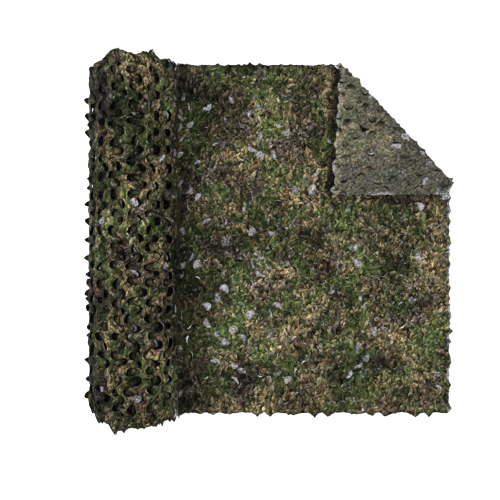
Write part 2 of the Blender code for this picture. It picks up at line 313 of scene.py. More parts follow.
def place(u, v, out):
    """Where a place on the flat cut lies. out is its height above the cloth, on the side that shows."""
    regions = (
        (past_crease(u, v) > 0, place_on_flap),
        (u >= landing_u(v), place_on_floor),
        (u >= seam_u(v), place_in_sweep),
    )
    result = place_on_roll(u, v, out)
    left = np.ones(u.shape, bool)
    for inside, put in regions:
        chosen = left & inside
        result[chosen] = put(u[chosen], v[chosen], out[chosen])
        left &= ~inside
    result[:, 2] = np.maximum(result[:, 2], LOWEST)
    return result


# --------------------
# Leaves


# Where the leaves of a stretch of cloth are: u and v of each tile's middle, and which way its leaf faces.
# Every tile has the same rim, and each leaf is set off by sway from its tile's middle, the way it faces.
Pattern = namedtuple("Pattern", ("u", "v", "facing", "rim", "sway"))


def diamond_rim(spokes):
    corners = ((HALF_U, 0), (0, HALF_V), (-HALF_U, 0), (0, -HALF_V))
    each = spokes // 4
    rim = []
    for near, far in zip(corners, corners[1:] + corners[:1]):
        for step in range(each):
            rim.append([near[axis] + (far[axis] - near[axis]) * step / each for axis in (0, 1)])
    return np.array(rim)


def box_rim(spokes):
    """The rim of a box two half-pitches wide and one high. The spoke nearest to each corner goes to it."""
    angles = math.tau * np.arange(spokes) / spokes
    corner = math.atan2(HALF_V / 2, HALF_U)
    for angle in (corner, math.pi - corner, math.pi + corner, math.tau - corner):
        angles[np.argmin(np.abs(angles - angle))] = angle
    headings = np.stack((np.cos(angles), np.sin(angles)), axis=-1)
    return headings / np.max(np.abs(headings) / (HALF_U, HALF_V / 2), axis=1)[:, None]


def diamonds(first_column, last_column, spokes, shift=(0.0, 0.0)):
    """Leaves in rows set off by half a pitch, which face alike along one diagonal and back along the next."""
    steps = np.arange(first_column, last_column + 1)
    column, row = np.meshgrid(steps, np.arange(-ROWS, ROWS + 1), indexing="ij")
    kept = (column + row) % 2 == 0
    column = column[kept]
    row = row[kept]
    facing = np.where((column - row) // 2 % 2 == 0, 1.0, -1.0)
    return Pattern(column * HALF_U + shift[0], row * HALF_V + shift[1], facing, diamond_rim(spokes), 0.0)


def columns(end_u, count, spokes):
    """Leaves in straight columns that face to and fro in turn, so that the slits of each column wind."""
    column, row = np.meshgrid(np.arange(count), np.arange(-ROWS, ROWS + 1), indexing="ij")
    facing = np.where(row % 2 == 0, 1.0, -1.0).ravel()
    u = end_u - HALF_U * (2 * column.ravel() + 1)
    return Pattern(u, row.ravel() * HALF_V, facing, box_rim(spokes), COLUMN_SWAY)


def leaf_pattern(pattern, leaf_radius, has_band_ring):
    """One tile of cloth with its round tongue, which faces +u and has its centre at 0.

    The points run from the tongue's centre out to its edge, then along the slit's other side, then round the
    tile, if need be by a ring half way.
    """
    rim = pattern.rim
    spokes = len(rim)
    angles = np.arctan2(rim[:, 1], rim[:, 0])
    rim = rim - (pattern.sway, 0.0)
    headings = np.stack((np.cos(angles), np.sin(angles)), axis=-1)
    points = [np.zeros((1, 2))] + [share * leaf_radius * headings for share in LEAF_RINGS]
    rings = [1 + spokes * index + np.arange(spokes) for index in range(len(LEAF_RINGS))]
    is_cut = np.abs(angles) <= CUT_HALF_ANGLE
    band_edge = rings[-1].copy()
    slit_start = 1 + spokes * len(LEAF_RINGS)
    slit_end = slit_start + is_cut.sum()
    rim_start = slit_end
    band_edge[is_cut] = slit_start + np.arange(is_cut.sum())
    points.append((leaf_radius + SLIT_WIDTH) * headings[is_cut])
    band_rings = [band_edge]
    if has_band_ring:
        points.append((leaf_radius * headings + rim) / 2)
        band_rings.append(slit_end + np.arange(spokes))
        rim_start = slit_end + spokes
    points.append(rim)
    band_rings.append(rim_start + np.arange(spokes))
    leaf_faces = [(0, rings[0][index], rings[0][(index + 1) % spokes]) for index in range(spokes)]
    band_faces = []
    strips = [(inner, outer, leaf_faces) for inner, outer in zip(rings, rings[1:])]
    strips += [(inner, outer, band_faces) for inner, outer in zip(band_rings, band_rings[1:])]
    for inner, outer, faces in strips:
        for index in range(spokes):
            after = (index + 1) % spokes
            faces.append((inner[index], outer[index], outer[after], inner[after]))
    starts = (slit_start, slit_end, rim_start)
    return np.concatenate(points), is_cut, headings[is_cut], starts, leaf_faces + band_faces


def bent(reach, bend, fold, tip):
    """A leaf seen from the side: it turns by bend over its first stretch, and by tip over its last one."""
    arc = np.minimum(reach, fold)
    last = np.maximum(reach - (LEAF_LENGTH - TIP_RUN), 0.0)
    straight = reach - arc - last
    rate = bend / fold
    tip_rate = tip / TIP_RUN
    heading = bend + tip_rate * last
    tip_forward = (np.sin(heading) - np.sin(bend)) / tip_rate
    tip_height = (np.cos(bend) - np.cos(heading)) / tip_rate
    forward = np.sin(rate * arc) / rate + straight * np.cos(bend) + tip_forward
    height = (1 - np.cos(rate * arc)) / rate + straight * np.sin(bend) + tip_height
    return forward, height


def curl(x, y, on_leaf, mood):
    """Bends each leaf up or down along its hinge. Returns the new places in each tile, and the heights."""
    keys = ("bend", "twist", "cup", "fold", "pinch", "tip")
    bend, twist, cup, fold, pinch, tip = [mood[key][:, None] for key in keys]
    along = x * np.cos(twist) + y * np.sin(twist) + LEAF_HINGE
    across = y * np.cos(twist) - x * np.sin(twist)
    reach = np.where(on_leaf, np.maximum(along, 0.0), 0.0)
    forward, height = bent(reach, bend, fold, tip)
    forward = forward - reach
    height = height + cup * (across / LEAF_RADIUS) ** 2 * smooth(reach / 0.012)
    inward = -across * pinch * (reach / LEAF_LENGTH) ** 2
    x = x + forward * np.cos(twist) - inward * np.sin(twist)
    y = y + forward * np.sin(twist) + inward * np.cos(twist)
    return x, y, height


def tint_of(points, slit_start, slit_end, mood):
    """Each point's paleness and its lightness, which change along the leaf.

    Its lightness is painted shade towards the tip of a leaf that dips, and painted light towards the tip
    of one that stands up. The cut rim gets a painted highlight, and the band's edge along the slit painted
    light and shade.
    """
    x = points[None, :, 0]
    index = np.arange(points.shape[0])
    on_leaf = (index < slit_start)[None, :]
    on_slit = ((index >= slit_start) & (index < slit_end))[None, :]
    pale_keys = ("pale", "pale_from", "pale_turn")
    light_keys = ("tone", "tone_from", "tone_run", "tone_round", "body", "edge_tone")
    level, start, pale_turn = [mood[key][:, None] for key in pale_keys]
    tone, tone_from, tone_run, tone_round, body, edge_tone = [mood[key][:, None] for key in light_keys]
    radius = np.hypot(x, points[None, :, 1])
    outward = x * np.cos(pale_turn) + points[None, :, 1] * np.sin(pale_turn)
    pale = level * smooth((outward - start) / 0.012) * on_leaf
    towards_tip = smooth((x * (1 - 0.65 * tone_round) + radius * tone_round - tone_from) / tone_run)
    whole = 1 + (body - 1) * smooth((x + LEAF_HINGE) / 0.008) * on_leaf
    leaf_radius = np.hypot(*points[slit_start - 1])
    at_rim = on_leaf & (radius > 0.95 * leaf_radius)
    # painted shade towards the tips of leaves that dip, painted light towards those of leaves that stand up
    lightness = 1 + (tone - 1) * towards_tip * on_leaf
    # painted light and shade along the band's edge at the slit
    lightness = lightness + (edge_tone - 1) * np.maximum(x / LEAF_RADIUS, 0.0) * on_slit
    lightness = whole * lightness * np.where(at_rim, 1 + RIM_LIGHT * towards_tip, 1.0)
    return np.stack((pale, lightness), axis=-1)


ROLL_LENGTH = 0.985 * math.tau * (ROLL_RADIUS - CLOTH / 2)  # of the outer turn, as far as it shows
FIRST_COLUMN = math.ceil((seam_u(0.0) - 0.02) / HALF_U)  # of the loose end's leaves
ROLL_END_U = FIRST_COLUMN * HALF_U


def ridges(u, v):
    """1 along the winding ridges between the roll's columns of leaves, and -1 half way between two."""
    swayed = u - ROLL_END_U - RIDGE_SWAY * np.cos(math.pi * v / HALF_V)
    return np.cos(math.pi * swayed / HALF_U)


def cloth_wave(u, v):
    """How the bands between the slits rise and dip. On the roll they stand up where they meet."""
    turn = turn_of(u, v)
    lattice_wave = np.sin(math.pi * (u / HALF_U + 0.5)) * np.cos(math.pi * v / HALF_V)
    on_roll = 0.0045 * ridges(u, v) + 0.0035 * ripples(u, v, 0.08, 43) + 0.0022 * ripples(u, v, 0.032, 45)
    on_roll = on_roll + 0.004 * ripples(u, v, 0.11, 49) * smooth(1 - np.abs(turn - 0.5) / 0.15)
    on_roll = on_roll * smooth(turn / 0.03) - 0.003 * smooth((0.06 - turn) / 0.02)
    room = np.where(under_flap(u, v), 0.25, 1.0)
    laid = room * (0.0012 * lattice_wave + 0.0022 * ripples(u, v, 0.055, 41))
    return np.where(turn > 0, on_roll, laid * smooth(-turn / 0.03))


def shading(u, v):
    """How light the cloth is painted from place to place, as painted light and shade.

    Painted shade lies low on the roll's far side and in the valley beside the roll, and a painted shadow
    in the narrow gap beside the folded corner. A painted highlight runs along the ridges between the roll's
    columns of leaves, and the middle of the loose end is painted a little lighter, as painted light.
    """
    # painted shade low on the roll's far side, and a painted highlight along the ridges between its columns
    on_roll = (0.80 + 0.28 * ridges(u, v)) - 0.50 * smooth(1 - np.abs(turn_of(u, v) - 0.44) / 0.17)
    # painted light: the middle of the loose end is a little lighter
    painted_light = smooth(1 - np.abs(v + 0.15) / 0.42) * smooth(1 - np.abs(u - 0.55) / 0.35)
    # painted shade in the valley beside the roll
    valley = 1 - 0.40 * smooth(1 - (u - landing_u(v)) / 0.30) + 0.42 * painted_light
    # painted shadow in the narrow gap beside the folded corner
    left_gap, low_gap = flap_gaps(u, v)
    at_left = smooth(1 - np.maximum(np.maximum(left_gap - 0.010, low_gap), 0.0) / 0.024)
    at_foot = smooth(1 - np.maximum(np.maximum(left_gap, low_gap), 0.0) / 0.032)
    beside = (1 - 0.72 * at_left * (left_gap > low_gap)) * (1 - 0.48 * at_foot)
    beside = np.where(past_crease(u, v) < 0, beside, 1.0)
    return np.where(turn_of(u, v) > 0, on_roll, valley * beside)


def is_held(u, v, facing):
    """Whether a leaf is whole enough to bend. Those that a cut edge runs through lie still."""
    hinge_u = u - facing * LEAF_HINGE * 1.5
    inside = (v < long_edge(u, 1) + 0.004) & (v > long_edge(u, -1) - 0.004)
    return (hinge_u < free_edge(v)) & inside


def wander(u, v):
    """How far the cloth has strayed from its flat cut, in u and in v. It is more where it is wound."""
    wound = smooth(turn_of(u, v) / 0.05)
    along = (0.0050 + 0.0070 * wound) * ripples(u, v, 0.17, 31)
    along = along + (0.0020 + 0.0015 * wound) * ripples(u, v, 0.06, 33)
    across = (0.0040 + 0.0040 * wound) * ripples(u, v, 0.15, 37)
    across = across + 0.0020 * ripples(u, v, 0.06, 39)
    return along, across


def tint_edges(tint, u, v, turned):
    """Paints shade along the long edges, which turn down, and pales the curled free edge. The folded corner's
    rim lobes get painted light, paler and lighter, and the flap is painted lighter near its rim.
    """
    high_gap = long_edge(u, 1) - v
    side_gap = np.minimum(high_gap, v - long_edge(u, -1))
    # painted shade along the long edges
    tint[..., 1] *= 1 - EDGE_SHADE * smooth(1 - side_gap / 0.016) * ~turned
    patchy = np.clip(0.1 + 1.2 * ripples(u, v, 0.10, 47), 0, 1)
    curled = smooth(1 - (free_edge(v) - u) / 0.014) * patchy
    # painted light: the folded corner's rim lobes are paler and lighter, the flap lighter near its rim
    flap_rim = smooth(1 - high_gap / 0.024) * turned * lobes(u, RIM_LOBE, 2.0) ** 1.5
    tint[..., 0] = np.maximum(tint[..., 0], EDGE_PALENESS * np.clip(np.maximum(curled, flap_rim), 0, 1))
    by_rim = smooth(1 - high_gap / 0.10) * turned
    tint[..., 1] *= (1 + 0.5 * flap_rim) * (1 + 0.35 * by_rim) * np.where(turned, 0.95, 1.0)


def leafy_cloth(name, pattern, leaf_radius, moods, sink=0.0, has_band_ring=False):
    """Builds a stretch of netting. moods gives each leaf's own bend, twist, cup and slit from its place."""
    points, is_cut, slit_headings, starts, tile_faces = leaf_pattern(pattern, leaf_radius, has_band_ring)
    slit_start, slit_end, rim_start = starts
    centre_u = pattern.u + pattern.facing * pattern.sway
    centre_v = pattern.v
    held = is_held(centre_u, centre_v, pattern.facing)
    mood = {**PLAIN_LEAF, **moods(centre_u, centre_v, pattern.facing)}
    mood = {key: np.broadcast_to(value, held.shape) for key, value in mood.items()}
    for key in ("bend", "tip", "cup", "pinch", "gap", "lip", "pale"):
        mood[key] = np.where(held, mood[key], STILL)
    facing = pattern.facing[:, None]
    flat_u = centre_u[:, None] + facing * points[None, :, 0]
    flat_v = centre_v[:, None] + facing * points[None, :, 1]

    # Opens the slits and bends the leaves
    x = np.repeat(points[None, :, 0], len(facing), axis=0)
    y = np.repeat(points[None, :, 1], len(facing), axis=0)
    at_tip = np.maximum(slit_headings[None, :, 0], 0.0)
    opened = mood["gap"][:, None] * at_tip ** mood["gap_power"][:, None]
    x[:, slit_start:slit_end] += opened * slit_headings[None, :, 0]
    y[:, slit_start:slit_end] += opened * slit_headings[None, :, 1]
    if has_band_ring:
        behind_slit = slit_end + np.nonzero(is_cut)[0]
        x[:, behind_slit] += 0.5 * opened * slit_headings[None, :, 0]
        y[:, behind_slit] += 0.5 * opened * slit_headings[None, :, 1]
    on_leaf = (np.arange(points.shape[0]) < slit_start)[None, :]
    x, y, height = curl(x, y, on_leaf, mood)
    height[:, slit_start:slit_end] += mood["lip"][:, None] * at_tip

    # Cuts the edges and puts every point in its place
    high = long_edge(flat_u, 1)
    low = long_edge(flat_u, -1)
    free = free_edge(flat_v)
    trim_v = np.clip(flat_v, low, high) - flat_v
    trim_u = np.minimum(flat_u, free) - flat_u
    room = smooth(np.minimum(high - flat_v, flat_v - low) / 0.05) * smooth((free - flat_u) / 0.05)
    wander_u, wander_v = wander(flat_u, flat_v)
    u = centre_u[:, None] + facing * x + trim_u + wander_u * room
    v = centre_v[:, None] + facing * y + trim_v + wander_v * room
    out = height + cloth_wave(flat_u, flat_v) - sink
    places = place(u.ravel(), v.ravel(), out.ravel()).reshape(u.shape + (3,))
    cut_u = flat_u + trim_u
    cut_v = flat_v + trim_v
    turned = past_crease(centre_u, centre_v) > 0
    faces = []
    for face in tile_faces:
        area = polygon_area(cut_u[:, list(face)], cut_v[:, list(face)])
        tiles = np.nonzero(area > LEAST_AREA)[0]
        faces.append((tiles, face, turned[tiles]))
    tint = tint_of(points, slit_start, slit_end, mood)
    # painted light and shade from place to place, then at the edges
    tint[..., 1] *= shading(flat_u, flat_v)
    tint_edges(tint, flat_u, flat_v, turned[:, None])
    return build_cloth(name, places, flat_u, flat_v, tint, faces, rim_start)


def polygon_area(x, y):
    return 0.5 * np.sum(x * np.roll(y, -1, axis=1) - np.roll(x, -1, axis=1) * y, axis=1)


def build_cloth(name, places, flat_u, flat_v, tint, faces, rim_start):
    """Joins the tiles along their shared rims and makes the mesh."""
    tile_count, point_count = flat_u.shape
    flat = np.stack((flat_u, flat_v), axis=-1)
    keys = np.round(flat[:, rim_start:] / SAME_PLACE).astype(int)
    _, first, inverse = np.unique(keys.reshape(-1, 2), axis=0, return_index=True, return_inverse=True)
    index = np.empty((tile_count, point_count), int)
    index[:, :rim_start] = np.arange(tile_count * rim_start).reshape(tile_count, rim_start)
    index[:, rim_start:] = tile_count * rim_start + inverse.reshape(tile_count, -1)

    def joined(values):
        """Those of each tile's inner points, and then those of the shared rim points, each once."""
        width = values.shape[-1]
        on_rim = values[:, rim_start:].reshape(-1, width)[first]
        return np.concatenate((values[:, :rim_start].reshape(-1, width), on_rim))

    polygons = []
    turned = []
    for tiles, face, is_turned in faces:
        polygons.extend(index[tiles][:, list(face)].tolist())
        turned.extend(is_turned.tolist())
    used = np.unique(np.concatenate([np.array(polygon) for polygon in polygons]))
    renumber = np.full(tile_count * rim_start + len(first), -1)
    renumber[used] = np.arange(len(used))
    polygons = [renumber[polygon].tolist() for polygon in polygons]
    places, uv, tint = [joined(values)[used] for values in (places, flat, tint)]
    return cloth_object(name, places, uv, polygons, tint), np.array(turned)


def add_object(name, data):
    item = bpy.data.objects.new(name, data)
    bpy.context.collection.objects.link(item)
    return item


def cloth_object(name, places, uv, polygons, tint=None):
    """Makes the mesh. One layer holds each point's place on the flat cut, the other its tint."""
    if tint is None:
        tint = np.tile((0.0, 1.0), (len(uv), 1))
    mesh = bpy.data.meshes.new(name)
    mesh.from_pydata(places.tolist(), [], polygons)
    corner = np.empty(len(mesh.loops), int)
    mesh.loops.foreach_get("vertex_index", corner)
    for layer_name, values in (("cloth", uv), ("tint", tint)):
        layer = mesh.uv_layers.new(name=layer_name)
        layer.data.foreach_set("uv", values[corner].astype(np.float32).ravel())
    mesh.shade_smooth()
    return add_object(name, mesh)


def dress(item, cloths, outward, turned=False):
    """Gives each face its side of the cloth: the print side, unless it is folded or curled over.

    cloths are the print side, the reverse of the folded corner, and the paler reverse of single leaves,
    which carries a painted sheen.
    """
    mesh = item.data
    for cloth in cloths:
        mesh.materials.append(cloth)
    count = len(mesh.polygons)
    centres = np.empty(count * 3)
    normals = np.empty(count * 3)
    mesh.polygons.foreach_get("center", centres)
    mesh.polygons.foreach_get("normal", normals)
    centres = centres.reshape(-1, 3)
    facing = np.sum(outward(centres) * normals.reshape(-1, 3), axis=1)
    which = np.where(facing < 0, np.where(turned, 1, 2), 0)
    mesh.polygons.foreach_set("material_index", which.astype(np.int32))
    return item


def off_roll(centres):
    """Away from the roll where the cloth hangs, and up where it lies."""
    laid = smooth((centres[:, 0] - HANG_X) / SWEEP_RADIUS)
    return np.stack((1 - laid, 0 * laid, laid), axis=-1)


def from_axis(centres):
    away = centres - (0.0, 0.0, AXIS_HEIGHT)
    away[:, 1] = 0.0
    return away


# --------------------
# Materials


Leaves = namedtuple("Leaves", ("pick", "light", "distance"))


class Nodes:
    """Builds one material's nodes."""

    def __init__(self, name):
        self.material = bpy.data.materials.new(name)
        self.material.use_nodes = True
        self.tree = self.material.node_tree
        self.shader = self.tree.nodes["Principled BSDF"]

    def add(self, kind, settings=None, **inputs):
        node = self.tree.nodes.new("ShaderNode" + kind)
        for key, value in (settings or {}).items():
            setattr(node, key, value)
        for key, value in inputs.items():
            self.feed(node, key.replace("_", " "), value)
        return node

    def feed(self, node, key, value):
        socket = node.inputs[int(key)] if key.strip().isdigit() else node.inputs[key]
        if isinstance(value, bpy.types.NodeSocket):
            self.tree.links.new(value, socket)
        else:
            socket.default_value = value

    def math(self, operation, first, second=0.0):
        node = self.add("Math", {"operation": operation})
        self.feed(node, "0", first)
        self.feed(node, "1", second)
        return node.outputs[0]

    def vector_math(self, operation, first, second):
        node = self.add("VectorMath", {"operation": operation})
        self.feed(node, "0", first)
        self.feed(node, "1", second)
        return node.outputs

    def scaled(self, vector, stretch, turn=0.0, offset=0.0):
        """Turns the pattern, then draws it out by stretch along its own first axis."""
        node = self.add("Mapping", {"vector_type": "TEXTURE"}, Vector=vector)
        node.inputs["Scale"].default_value = (stretch, 1.0, 1.0)
        node.inputs["Rotation"].default_value = (0.0, 0.0, turn)
        node.inputs["Location"].default_value = (offset, 0.7 * offset, 0.0)
        return node.outputs[0]

    def noise(self, vector, scale, detail=2.0, roughness=0.5):
        node = self.add("TexNoise", Vector=vector, Scale=scale, Detail=detail, Roughness=roughness)
        return node.outputs["Fac"]

    def ramp(self, factor, stops):
        node = self.add("ValToRGB", Fac=factor)
        band = node.color_ramp
        while len(band.elements) < len(stops):
            band.elements.new(0.5)
        for element, (position, colour) in zip(band.elements, stops):
            element.position = position
            element.color = linear(colour)
        return node.outputs["Color"]

    def mix(self, factor, first, second, blend="MIX"):
        node = self.add("Mix", {"data_type": "RGBA", "blend_type": blend})
        for key, value in (("0", factor), ("6", first), ("7", second)):
            self.feed(node, key, value)
        return node.outputs[2]

    def leaves(self, vector, rate):
        """Cells of the print, each a leaf that is lighter towards one side."""
        node = self.add("TexVoronoi", Vector=vector, Scale=rate)
        pick = self.add("SeparateColor", Color=node.outputs["Color"])
        grown = self.vector_math("SUBTRACT", vector, node.outputs["Position"])[0]
        across = self.vector_math("DOT_PRODUCT", grown, (0.55 * rate, 0.83 * rate, 0.0))["Value"]
        light = self.spread(across, -0.5, 0.5, 0.45, 1.65)
        return Leaves(pick.outputs, light, node.outputs["Distance"])

    def spread(self, value, low, high, least, most, kind="LINEAR"):
        """Carries the range from low to high onto the one from least to most."""
        node = self.add("MapRange", {"interpolation_type": kind}, Value=value)
        for key, number in (("From Min", low), ("From Max", high), ("To Min", least), ("To Max", most)):
            node.inputs[key].default_value = number
        return node.outputs[0]

    def window(self, value, low, high):
        """0 below low and 1 above high."""
        return self.spread(value, low, high, 0.0, 1.0, "SMOOTHSTEP")


def linear(colour):
    """An sRGB colour of 0 to 255 as a linear one."""
    shares = [channel / 255 for channel in colour]
    return tuple(s / 12.92 if s <= 0.04045 else ((s + 0.055) / 1.055) ** 2.4 for s in shares) + (1.0,)


SHADE = (24, 23, 19)
BARK = (75, 64, 54)
DARK_LEAF = (50, 54, 38)
OLIVE = (112, 110, 76)
MOSS = (80, 98, 65)
FRESH = (115, 134, 90)
STRAW = (174, 161, 133)
CLAY = (138, 119, 98)
STONE = (136, 130, 123)
DUST = (170, 162, 155)
PALE = (206, 202, 200)
# grey of the pale leaves, and of the painted sheen on curled ones
LEAF_GREY_DARK = (80, 78, 80)
LEAF_GREY = (168, 166, 172)
REVERSE_DARK = (34, 34, 28)
REVERSE_PALE = (166, 164, 152)
GREEN_PATCH = (
    (0.0, DARK_LEAF), (0.22, MOSS), (0.42, OLIVE), (0.58, FRESH), (0.72, BARK), (0.86, MOSS), (1.0, STRAW),
)
DRY_PATCH = (
    (0.0, BARK), (0.2, CLAY), (0.38, STRAW), (0.55, OLIVE), (0.72, SHADE), (0.86, MOSS), (1.0, STONE),
)
EARTH_PATCH = (
    (0.0, SHADE), (0.2, BARK), (0.4, STONE), (0.58, DARK_LEAF), (0.72, CLAY), (0.86, BARK), (1.0, DUST),
)
PRINT_GAMMA = 1.48
INK = 0.51  # how dark the whole print is


def camouflage(name, washed=0.0, gain=1.0, greyed=0.0):
    """Leaf-litter print: blotches of leaves, grass, twigs and earth in a layout of its own.

    washed mixes in the paler colour of the reverse, and greyed the painted grey sheen of a curled leaf.
    gain below 1 darkens the whole print, as painted shade.
    """
    nodes = Nodes(name)
    cloth = nodes.add("UVMap", {"uv_map": "cloth"}).outputs[0]
    tint = nodes.add("UVMap", {"uv_map": "tint"}).outputs[0]
    paleness, lightness = nodes.add("SeparateXYZ", Vector=tint).outputs[:2]
    bend = nodes.add("TexNoise", Vector=cloth, Scale=30.0, Detail=3.0).outputs["Color"]
    bend = nodes.add("VectorMath", {"operation": "SCALE"}, Vector=bend, Scale=0.022).outputs[0]
    warped = nodes.vector_math("ADD", cloth, bend)[0]

    # Leaves of the green patches, the dry ones and the earth, in cells longer one way than the other
    litter = nodes.leaves(nodes.scaled(warped, 1.5, 1.5), 104.0)
    field_a = nodes.noise(nodes.scaled(warped, 1.1), 6.5, 2.0, 0.5)
    field_b = nodes.noise(nodes.scaled(warped, 1.1, 0.5, 4.0), 7.5, 2.0, 0.5)

    def region_colour(pick, scatter):
        """scatter lets single leaves of one patch fall into the next."""
        stray = nodes.spread(scatter, 0.0, 1.0, -0.08, 0.08)
        is_green = nodes.window(nodes.math("ADD", field_a, stray), 0.46, 0.54)
        is_earth = nodes.window(nodes.math("SUBTRACT", field_b, stray), 0.56, 0.64)
        green = nodes.ramp(pick, GREEN_PATCH)
        dry = nodes.ramp(pick, DRY_PATCH)
        earth = nodes.ramp(pick, EARTH_PATCH)
        return nodes.mix(is_earth, nodes.mix(is_green, dry, green), earth)

    colour = nodes.mix(1.0, region_colour(litter.pick[0], litter.pick[1]), litter.light, "MULTIPLY")

    # Grass blades and twigs over them, three ways
    for turn, offset, stretch, rate, share in (
        (1.2, 2.0, 2.8, 145.0, 0.66),
        (2.2, 5.0, 2.6, 132.0, 0.72),
        (0.5, 11.0, 2.2, 118.0, 0.82),
    ):
        blade = nodes.leaves(nodes.scaled(warped, stretch, turn, offset), rate)
        blade_colour = nodes.mix(1.0, region_colour(blade.pick[1], blade.pick[2]), blade.light, "MULTIPLY")
        colour = nodes.mix(nodes.window(blade.pick[0], share, share + 0.03), colour, blade_colour)

    # Dark and light stretches over the whole print
    field_c = nodes.noise(nodes.scaled(warped, 1.0, 0.9, 9.0), 4.5, 2.0, 0.6)
    colour = nodes.mix(1.0, colour, nodes.spread(field_c, 0.36, 0.64, 0.56, 1.50), "MULTIPLY")

    # A few pale flecks
    speck = nodes.leaves(nodes.scaled(warped, 1.3, 1.4, 7.0), 110.0)
    is_fleck = nodes.window(speck.pick[2], 0.92, 0.94)
    lit = nodes.math("MULTIPLY", is_fleck, nodes.window(speck.distance, 0.6, 0.3))
    colour = nodes.mix(nodes.math("MULTIPLY", lit, 0.5), colour, linear(PALE))

    # Uneven ink
    ink = nodes.noise(cloth, 330.0, 3.0, 0.6)
    colour = nodes.mix(1.0, colour, nodes.spread(ink, 0.25, 0.75, 0.60 * gain, 1.40 * gain), "MULTIPLY")
    colour = nodes.add("Gamma", Color=colour, Gamma=PRINT_GAMMA).outputs[0]
    if washed:
        thread = nodes.noise(nodes.scaled(cloth, 1.5, 0.8), 125.0, 3.0, 0.65)
        reverse = nodes.ramp(thread, ((0.38, REVERSE_DARK), (0.62, REVERSE_PALE)))
        colour = nodes.mix(washed, colour, reverse)
    colour = nodes.mix(1.0, colour, nodes.math("MULTIPLY", lightness, INK), "MULTIPLY")
    mottle = nodes.noise(cloth, 120.0, 2.0, 0.6)
    grey = nodes.ramp(mottle, ((0.3, LEAF_GREY_DARK), (0.7, LEAF_GREY)))
    paleness = nodes.math("ADD", paleness, nodes.spread(mottle, 0.3, 0.7, -0.30, 0.30))
    paleness = nodes.window(paleness, 0.10, 1.05)
    if greyed:
        paleness = nodes.math("MAXIMUM", paleness, nodes.spread(lightness, 0.2, 0.9, 0.0, greyed))
    colour = nodes.mix(paleness, colour, grey)
    nodes.feed(nodes.shader, "Base Color", colour)
    finish_cloth(nodes, cloth, ink)
    return nodes.material


def finish_cloth(nodes, cloth, ink):
    """Plain weave and small creases in the bump, and a satin roughness that varies."""
    nodes.feed(nodes.shader, "Roughness", nodes.spread(ink, 0.25, 0.75, 0.46, 0.64))
    nodes.shader.inputs["Specular IOR Level"].default_value = 0.025
    nodes.shader.inputs["Sheen Weight"].default_value = 0.008
    nodes.shader.inputs["Sheen Roughness"].default_value = 0.4
    threads = []
    for direction in ("X", "Y"):
        wave = nodes.add("TexWave", {"bands_direction": direction}, Vector=cloth, Scale=320.0)
        threads.append(wave.outputs["Fac"])
    weave = nodes.math("MULTIPLY", nodes.math("ADD", *threads), 0.12)
    creases = nodes.noise(cloth, 95.0, 3.0, 0.55)
    height = nodes.math("ADD", weave, creases)
    bump = nodes.add("Bump", Height=height, Strength=0.55, Distance=0.0035)
    nodes.feed(nodes.shader, "Normal", bump.outputs[0])


# --------------------
# Pieces


PLAIN_LEAF = {  # what every leaf has unless its piece says otherwise
    "cup": 0.0, "pinch": 0.0, "lip": 0.0, "gap_power": 1.3, "body": 1.0, "edge_tone": 1.0,
    "tone": 1.0, "tone_from": -0.010, "tone_run": 0.022, "tone_round": 0.0,
}


def drawing(seed, shape):
    """Gives the function that draws an even random number between two limits for every leaf."""
    random = np.random.default_rng(seed)
    return lambda low, high: random.uniform(low, high, shape)


def pale_leaves(draw, share):
    """How pale each leaf's outer part is, and how far out that starts. Most aren't pale at all."""
    return {
        "pale": np.where(draw(0, 1) < share, draw(0.20, 0.92), 0.0),
        "pale_from": draw(-0.016, 0.005),
        "pale_turn": draw(-1.3, 1.3),
    }


def loose_moods(u, v, facing):
    """Half of the leaves point down and prop the cloth up, and many tips curl back.

    Where the cloth hangs beside the roll its leaves lie close, but for some that are flung out.
    """
    draw = drawing(101, u.shape)
    turn = turn_of(u, v)
    is_down = draw(0, 1) < 0.48
    pressed = under_flap(u, v)
    on_flap = past_crease(u, v) > 0
    bend = np.where(is_down, -draw(0.10, 0.62), draw(0.10, 0.80))
    bend = np.where(pressed, 0.06, np.where(on_flap, np.maximum(1.2 * bend, -0.40), bend))
    fold = draw(0.006, 0.016)
    is_curled = (draw(0, 1) < 0.45) & ~pressed
    tip = np.where(is_curled, draw(0.5, 2.1), 0.05)
    overlap = LEAF_LENGTH - bent(LEAF_LENGTH, bend, fold, tip)[0] + draw(0.0, 0.0025)
    landed = (u - landing_u(v)) / 0.12
    near_roll = smooth(landed + 0.3) * (1 - smooth((landed - 2.2) / 2.0))
    lively = 1 - 0.9 * near_end(v) * smooth((turn + 0.22) / 0.05)
    draw_more = drawing(102, u.shape)
    hangs = smooth((turn + 0.13) / 0.03)
    is_flung = (draw_more(0, 1) < 0.70) & (hangs > 0.5) & (near_end(v) < 0.5) & (facing > 0)
    lively = np.where(is_flung, 1.0, lively * (1 - 0.75 * smooth((turn + 0.17) / 0.05)))
    bend = np.where(is_flung, draw_more(0.75, 1.35), bend)
    shut = -0.0012 - np.minimum(overlap, 0.0115) * lively
    share = (0.17 * (1 - hangs) + 0.24 * near_roll + 0.40 * is_flung) * (1 - near_end(v))
    return {
        "bend": bend * lively,
        "twist": draw(-0.45, 0.45),
        "cup": draw(-0.002, 0.003) * np.where(pressed, 0.2, 1.0),
        "fold": fold,
        "tip": tip * lively,
        "pinch": draw(0.0, 0.3) * lively,
        "gap": np.where(on_flap, draw_more(0.0, 0.004), shut),
        "lip": np.where(pressed, 0.0, draw(0.0, 0.002)) * lively,
        # painted shade on leaves that point down and painted light on those that point up
        "tone": np.where(is_down, draw(0.12, 0.80), draw(0.75, 1.70)),
        # painted light and shade along the band's edge at each slit
        "edge_tone": draw(0.7, 1.7),
        **pale_leaves(draw, share),
    }


